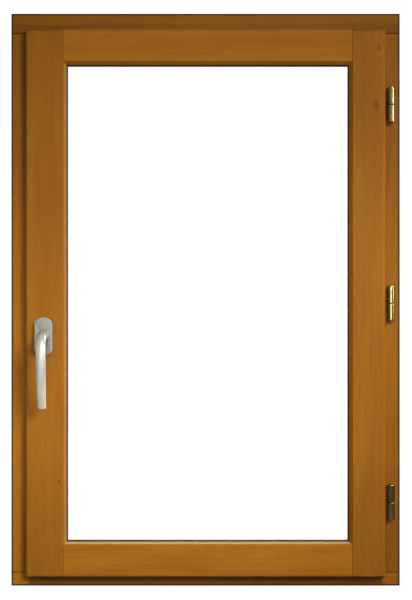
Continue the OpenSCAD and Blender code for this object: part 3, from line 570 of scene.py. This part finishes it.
# Painted shade: the hinge studs get a dark brown copy of the brass, standing in for the shade between barrel and
# lip
shadedStudLook = {"base": srgb(104, 74, 48), "dull": srgb(70, 48, 30), "metal": 1.0,
            "roughness": 0.5, "spotted": 0.3, "brushed": 0.2}


# A turned part: an outline of (radius, height) spun round an upright axis
def turned(outline, centre, sides=48):
    work = bmesh.new()
    points = [work.verts.new((centre.x + r, centre.y, z)) for r, z in outline]
    edges = [work.edges.new(pair) for pair in zip(points, points[1:] + points[:1])]
    bmesh.ops.spin(work, geom=points + edges, cent=centre, axis=(0, 0, 1), angle=math.tau,
                   steps=sides, use_merge=True, use_duplicate=False)
    bmesh.ops.remove_doubles(work, verts=work.verts, dist=tiny)
    return work


def roundedCorner(centre, radius, start, steps=5):
    angles = [math.radians(start + 90 * i / steps) for i in range(steps + 1)]
    return [(centre[0] + radius * math.cos(a), centre[1] + radius * math.sin(a)) for a in angles]


def stud(work, start, end):
    along = end - start
    before = set(work.faces)
    turn = along.to_track_quat("Z", "Y").to_matrix().to_4x4()
    bmesh.ops.create_cone(work, cap_ends=True, segments=24, radius1=hinge["stud"],
                          radius2=hinge["stud"], depth=along.length,
                          matrix=Matrix.Translation((start + end) / 2) @ turn)
    for face in work.faces:
        if face not in before:
            face.material_index = 1


# A barrel with a domed outer end, a small arris at the split and a bore for the pin
def barrel(low, high, domeUp):
    r, e, d = hinge["radius"], hinge["edge"], hinge["dome"]
    top, bottom = (d, e) if domeUp else (e, d)
    outline = [(hinge["bore"], low)]
    outline += roundedCorner((r - bottom, low + bottom), bottom, -90)
    outline += roundedCorner((r - top, high - top), top, 0)
    outline.append((hinge["bore"], high))
    return turned(outline, hingeAxis)


def buildHinge(place):
    lower, upper, ring = (span(f"hinge_{place}_{part}") for part in ("lower", "upper", "ring"))
    split = (lower["z1"] + upper["z0"]) / 2
    work = barrel(lower["z0"], lower["z1"], False)
    root = Vector((hingeAxis.x, hingeAxis.y + hinge["studIn"], split - hinge["studRise"]))
    stud(work, root, Vector((root.x, lower["y1"], root.z)))
    finishMesh(work, f"{place}LowerBarrel", brass, "frame", [f"hinge_{place}_lower"],
               second=studBrass)
    work = barrel(upper["z0"], upper["z1"], True)
    root = Vector((hingeAxis.x - hinge["studIn"], hingeAxis.y, split + hinge["studRise"]))
    stud(work, root, Vector((upper["x0"], root.y, root.z)))
    finishMesh(work, f"{place}UpperBarrel", brass, "sash", [f"hinge_{place}_upper"],
               second=studBrass)
    inner, outer = hinge["bore"], hinge["radius"] - hinge["washerIn"]
    low, high = ring["z0"] + hinge["washerGap"], ring["z1"] - hinge["washerGap"]
    work = turned([(inner, low), (outer, low), (outer, high), (inner, high)], hingeAxis)
    finishMesh(work, f"{place}Washer", darkBrass, "frame", [f"hinge_{place}_ring"])


brass = metalMaterial("agedBrass", brassLook)
darkBrass = metalMaterial("ringBrass", washerLook)
studBrass = metalMaterial("studBrass", shadedStudLook)
for place in ("top", "middle", "bottom"):
    buildHinge(place)
print("hinges done")


# Handle
handle = {"drop": 126 * mm, "reach": 45.8 * mm, "neck": 8 * mm, "grip": 9 * mm, "tip": 7.5 * mm,
          "gripThick": 5.6 * mm, "tipThick": 4.6 * mm, "sides": 40, "elbowSteps": 14,
          "gripSteps": 16, "tipRound": 1.4 * mm}
rosette = span("handle_rosette")
rosetteY = rosette["y0"]
leverLook = {"base": srgb(208, 206, 196), "dull": srgb(200, 198, 188), "metal": 0.5,
             "roughness": 0.38, "spotted": 0.04, "brushed": 0.15,
             # painted highlight on the lower grip
             "polish": (handleAxis.z - 50 * mm, handleAxis.z - 105 * mm, srgb(250, 244, 216))}
rosetteLook = {"base": srgb(136, 137, 126), "dull": srgb(128, 129, 118), "metal": 0.85,
               "roughness": 0.36, "spotted": 0.05, "brushed": 0.15}
# Painted highlight: a near-white copy of the rosette's aluminium for its rim, far lighter than its face
rimHighlightLook = {"base": srgb(252, 252, 244), "dull": srgb(244, 244, 234), "metal": 0.3,
           "roughness": 0.32, "spotted": 0.02, "brushed": 0.1}


def bezier(points, t):
    weights = ((1 - t) ** 3, 3 * t * (1 - t) ** 2, 3 * t * t * (1 - t), t ** 3)
    return sum((w * Vector(p) for w, p in zip(weights, points)), Vector((0, 0)))


def ease(a, b, t):
    t = min(1, max(0, t))
    return a + (b - a) * t * t * (3 - 2 * t)


def leverLine():
    reach, drop = handle["reach"], handle["drop"]
    elbow = [(20 * mm, 0), (reach - 6 * mm, 0), (reach, -10 * mm), (reach + 0.5 * mm, -32 * mm)]
    grip = [elbow[3], (reach + 1.1 * mm, -62 * mm), (reach - 10 * mm, -98 * mm),
            (reach - 22 * mm, -drop)]
    line = [Vector((-2.6 * mm, 0)), Vector((8 * mm, 0))]
    line += [bezier(elbow, i / handle["elbowSteps"]) for i in range(handle["elbowSteps"] + 1)]
    line += [bezier(grip, i / handle["gripSteps"]) for i in range(1, handle["gripSteps"] + 1)]
    return line


def power(value, exponent):
    return math.copysign(abs(value) ** exponent, value)


shares = {"widest": 0.5, "thinFrom": 0.08, "thinOver": 0.45, "tipFrom": 0.6, "squareFrom": 0.2,
          "squareOver": 0.4, "round": 2, "square": 2.5}


# Half width, half thickness and squareness at a share t of the lever's length
def leverSection(t):
    widest, tipFrom = shares["widest"], shares["tipFrom"]
    if t < widest:
        wide = ease(handle["neck"], handle["grip"], t / widest)
    else:
        wide = ease(handle["grip"], handle["tip"], (t - widest) / (1 - widest))
    if t < tipFrom:
        along = (t - shares["thinFrom"]) / shares["thinOver"]
        thick = ease(handle["neck"], handle["gripThick"], along)
    else:
        thick = ease(handle["gripThick"], handle["tipThick"], (t - tipFrom) / (1 - tipFrom))
    along = (t - shares["squareFrom"]) / shares["squareOver"]
    return wide, thick, 2 / ease(shares["round"], shares["square"], along)


# The lever: one ring of edges, extruded along its middle line and reshaped at each step
def buildLever():
    line = leverLine()
    last = len(line) - 1
    lengths = [0.0]
    for a, b in zip(line, line[1:]):
        lengths.append(lengths[-1] + (b - a).length)
    work = bmesh.new()
    ring = bmesh.ops.create_circle(work, cap_ends=False, segments=handle["sides"],
                                   radius=1)["verts"]
    edges = list({e for v in ring for e in v.link_edges})
    start = ring
    for i, at in enumerate(line):
        if i:
            made = bmesh.ops.extrude_edge_only(work, edges=edges)["geom"]
            ring = [g for g in made if isinstance(g, bmesh.types.BMVert)]
            edges = [g for g in made if isinstance(g, bmesh.types.BMEdge)]
        way = (line[min(i + 1, last)] - line[max(i - 1, 0)]).normalized()
        wide, thick, exponent = leverSection(lengths[i] / lengths[-1])
        for k, vert in enumerate(ring):
            angle = math.tau * k / handle["sides"]
            across = wide * power(math.cos(angle), exponent)
            out = thick * power(math.sin(angle), exponent)
            vert.co = (handleAxis.x + across, rosetteY - (at.x - way.y * out),
                       handleAxis.z + at.y + way.x * out)
    tip = bmesh.ops.contextual_create(work, geom=edges)["faces"]
    openEdges = list({e for v in start for e in v.link_edges if e.is_boundary})
    bmesh.ops.contextual_create(work, geom=openEdges)
    roundOff(work, [e for f in tip for e in f.edges], handle["tipRound"], 4)
    finishMesh(work, "lever", metalMaterial("leverAluminium", leverLook), "handle",
               ["handle_lever"], 50)


plate = {"arch": 0.62, "steps": 16, "corner": 2.5 * mm, "rim": 1.8 * mm, "rimDeep": 2.16 * mm,
         "flat": 0.99}


# An upright plate with arched ends, straight sides and a rounded rim
def buildRosette(material):
    wide = rosette["x1"] - rosette["x0"]
    tall = rosette["z1"] - rosette["z0"]
    arch = plate["arch"] * wide
    centre = tall / 2 - arch
    limit = math.asin(wide / 2 / arch)
    work = bmesh.new()
    points = []
    for side in (1, -1):
        for i in range(plate["steps"] + 1):
            angle = limit - 2 * limit * i / plate["steps"]
            points.append((side * arch * math.sin(angle),
                           side * (centre + arch * math.cos(angle))))
    verts = [work.verts.new((handleAxis.x + x, sashY, handleAxis.z + z)) for x, z in points]
    face = work.faces.new(verts)
    made = bmesh.ops.extrude_face_region(work, geom=[face])["geom"]
    top = [g for g in made if isinstance(g, bmesh.types.BMVert)]
    bmesh.ops.translate(work, verts=top, vec=(0, rosetteY - sashY, 0))
    corners = [e for e in work.edges if not lies(e, y=rosetteY) and not lies(e, y=sashY)
               and e.calc_face_angle(0) > math.radians(20)]
    roundOff(work, corners, plate["corner"], 5)
    roundOff(work, [e for e in work.edges if lies(e, y=rosetteY)], plate["rim"], 4)
    work.normal_update()
    # The rim faces take the near-white copy, a painted highlight
    for face in work.faces:
        depth = face.calc_center_median().y - rosetteY
        if tiny < depth < plate["rimDeep"] and abs(face.normal.y) < plate["flat"]:
            face.material_index = 1
    finishMesh(work, "rosettePlate", material, "sash", ["handle_rosette", "handle_base"],
               25, second=metalMaterial("rosetteRim", rimHighlightLook))


collarLook = {"round": 1.6 * mm, "gap": 0.4 * mm, "sink": 0.2 * mm, "steps": 4}


# The round collar between the rosette and the lever's neck
def buildCollar(material):
    collar = span("handle_collar")
    outer = (collar["x1"] - collar["x0"]) / 2
    inner = handle["neck"] + collarLook["gap"]
    soft = collarLook["round"]
    back = collar["y1"] + collarLook["sink"]
    outline = [(inner, back), (outer, back)]
    for i in range(collarLook["steps"] + 1):
        a = math.pi / 2 * i / collarLook["steps"]
        outline.append((outer - soft + soft * math.cos(a),
                        collar["y0"] + soft * (1 - math.sin(a))))
    outline.append((inner, collar["y0"]))
    work = bmesh.new()
    points = [work.verts.new((handleAxis.x + r, y, handleAxis.z)) for r, y in outline]
    edges = [work.edges.new(pair) for pair in zip(points, points[1:] + points[:1])]
    bmesh.ops.spin(work, geom=points + edges, cent=(handleAxis.x, 0, handleAxis.z),
                   axis=(0, 1, 0), angle=math.tau, steps=48, use_merge=True, use_duplicate=False)
    bmesh.ops.remove_doubles(work, verts=work.verts, dist=tiny)
    finishMesh(work, "collarRing", material, "sash", ["handle_collar"], 30)


rosetteAluminium = metalMaterial("rosetteAluminium", rosetteLook)
buildLever()
buildRosette(rosetteAluminium)
buildCollar(rosetteAluminium)
print("handle done")


# The lock's fittings, as softened copies of their nodes
steelLook = {"base": srgb(176, 178, 180), "dull": srgb(140, 142, 146), "metal": 1.0,
             "roughness": 0.35, "spotted": 0.15, "brushed": 0.2}
zincLook = {"base": srgb(196, 196, 190), "dull": srgb(160, 158, 146), "metal": 1.0,
            "roughness": 0.38, "spotted": 0.2, "brushed": 0.15}
plateLook = {"base": srgb(196, 196, 188), "dull": srgb(176, 176, 168), "metal": 0.9,
             "roughness": 0.36, "spotted": 0.06, "brushed": 0.15}
# Painted shade: the spacer is given a dark brown colour that stands in for the shade in the glazing gap
spacerLook = {"base": srgb(84, 76, 66), "dull": srgb(64, 58, 50), "metal": 0.4,
              "roughness": 0.5, "spotted": 0.1, "brushed": 0.1}
steel = metalMaterial("plainSteel", steelLook)
zinc = metalMaterial("zincPlate", zincLook)
satin = metalMaterial("satinPlate", plateLook)

fittings = {"keep_top": "frame", "keep_middle": "frame", "keep_bottom": "frame",
            "faceplate": "sash", "roller_top": "roller_top", "roller_middle": "roller_middle",
            "roller_bottom": "roller_bottom"}
fittingArris = 0.35 * mm
finishes = {"glass": glassMaterial(),
            "gasket": softMaterial("gasketRubber", srgb(70, 62, 52), srgb(48, 42, 36), 0.7),
            "silicone": softMaterial("glazingSeal", srgb(176, 164, 140), srgb(150, 138, 112), 0.6),
            "spacer": metalMaterial("spacerAluminium", spacerLook),
            "moulding": softMaterial("nylon", srgb(96, 96, 94), srgb(84, 84, 82), 0.5),
            "brass": brass, "satin_aluminium": satin, "steel": steel, "zinc_plate": zinc}
slots = {row["node"]: row["material_slot"] for row in frame["record"]["subparts"]}

for node, body in fittings.items():
    work = cleanCopy(node)
    softenSharp(work, fittingArris, 60)
    words = node.split("_")
    name = words[0] + "".join(w.capitalize() for w in words[1:]) + "Metal"
    finishMesh(work, name, finishes[slots[node]], body, [node], 30)

# Every other node keeps its CAD shape, with its own finish
for node, piece in nodes.items():
    finish = finishes.get(slots[node])
    if finish:
        piece.data.materials.clear()
        piece.data.materials.append(finish)
print("finishes done")


# Stage, light and camera
light = {"world": 0.18, "glow": 1.25, "floor": 0.2, "floorHalf": 6, "floorDrop": 2 * mm,
         "key": {"at": (1.35, -2.4, 1.75), "aim": (-0.12, 0, 0.36), "size": 1.5, "power": 5.6,
                 "spread": 34},
         "near": {"at": (0.0, -2.2, 0.6), "aim": (-0.04, 0, 0.38), "size": 0.8, "power": 1.0,
                  "spread": 50},
         "right": {"at": (2.4, -0.8, 0.9), "aim": (0, 0, 0.5), "size": 0.7, "power": 2.0,
                   "spread": 60},
         "left": {"at": (-2.4, -1.0, 0.9), "aim": (0, 0, 0.5), "size": 0.6, "power": 0.8,
                  "spread": 60},
         "low": {"at": (-0.35, -1.6, 0.06), "aim": (-0.289, -0.1, 0.36), "size": 0.3,
                 "power": 0.07, "spread": 30},
         "back": {"at": (1.7, 2.6, 1.7), "aim": (0, 0, 0.5), "size": 1.2, "power": 4.0,
                  "spread": 60}}
lens = {"away": 2.75, "length": 91.6, "right": 0.8 * mm, "down": 0.5 * mm}


# White to the camera and through glass, plain and matt to every other ray
def stageMaterial():
    material, tree, shader = newMaterial("paleStage")
    feed(tree, shader.inputs["Base Color"], (light["floor"], light["floor"], light["floor"], 1))
    feed(tree, shader.inputs["Roughness"], 0.9)
    path = add(tree, "ShaderNodeLightPath")
    seen = maths(tree, "MAXIMUM", path.outputs["Is Camera Ray"],
                 path.outputs["Is Transmission Ray"])
    glow = add(tree, "ShaderNodeEmission")
    feed(tree, glow.inputs["Color"], (1, 1, 1, 1))
    feed(tree, glow.inputs["Strength"], light["glow"])
    mix = add(tree, "ShaderNodeMixShader")
    feed(tree, mix.inputs[0], seen)
    feed(tree, mix.inputs[1], shader.outputs[0])
    feed(tree, mix.inputs[2], glow.outputs[0])
    out = next(n for n in tree.nodes if n.type == "OUTPUT_MATERIAL")
    feed(tree, out.inputs["Surface"], mix.outputs[0])
    return material


def areaLight(name, settings):
    data = bpy.data.lights.new(name, "AREA")
    data.shape = "DISK"
    data.size = settings["size"]
    data.energy = settings["power"]
    data.spread = math.radians(settings["spread"])
    lamp = bpy.data.objects.new(name, data)
    lamp.location = settings["at"]
    way = Vector(settings["aim"]) - Vector(settings["at"])
    lamp.rotation_euler = way.to_track_quat("-Z", "Y").to_euler()
    lamp.visible_camera = False
    bpy.context.scene.collection.objects.link(lamp)


def buildStage():
    work = bmesh.new()
    bmesh.ops.create_grid(work, x_segments=8, y_segments=8, size=light["floorHalf"])
    mesh = bpy.data.meshes.new("studioFloor")
    work.to_mesh(mesh)
    work.free()
    mesh.materials.append(stageMaterial())
    floor = bpy.data.objects.new("studioFloor", mesh)
    floor.location = (0, 0, -light["floorDrop"])
    bpy.context.scene.collection.objects.link(floor)


def buildWorld():
    world = bpy.data.worlds.new("studio")
    bpy.context.scene.world = world
    world.use_nodes = True
    tree = world.node_tree
    back = tree.nodes["Background"]
    path = add(tree, "ShaderNodeLightPath")
    seen = maths(tree, "MAXIMUM", path.outputs["Is Camera Ray"],
                 path.outputs["Is Transmission Ray"])
    extra = maths(tree, "MULTIPLY", seen, light["glow"] - light["world"])
    feed(tree, back.inputs["Strength"], maths(tree, "ADD", extra, light["world"]))
    feed(tree, back.inputs["Color"], (1, 1, 1, 1))


def buildCamera():
    data = bpy.data.cameras.new("camera")
    data.sensor_width = 36
    data.lens = lens["length"]
    camera = bpy.data.objects.new("camera", data)
    camera.location = (lens["right"], roomY - lens["away"], frameTop / 2 - lens["down"])
    camera.rotation_euler = (math.pi / 2, 0, 0)
    bpy.context.scene.collection.objects.link(camera)
    bpy.context.scene.camera = camera


buildStage()
buildWorld()
for name in ("key", "near", "right", "left", "low", "back"):
    areaLight(name + "Light", light[name])
buildCamera()
bpy.context.scene.view_settings.view_transform = "Standard"
print("stage done")
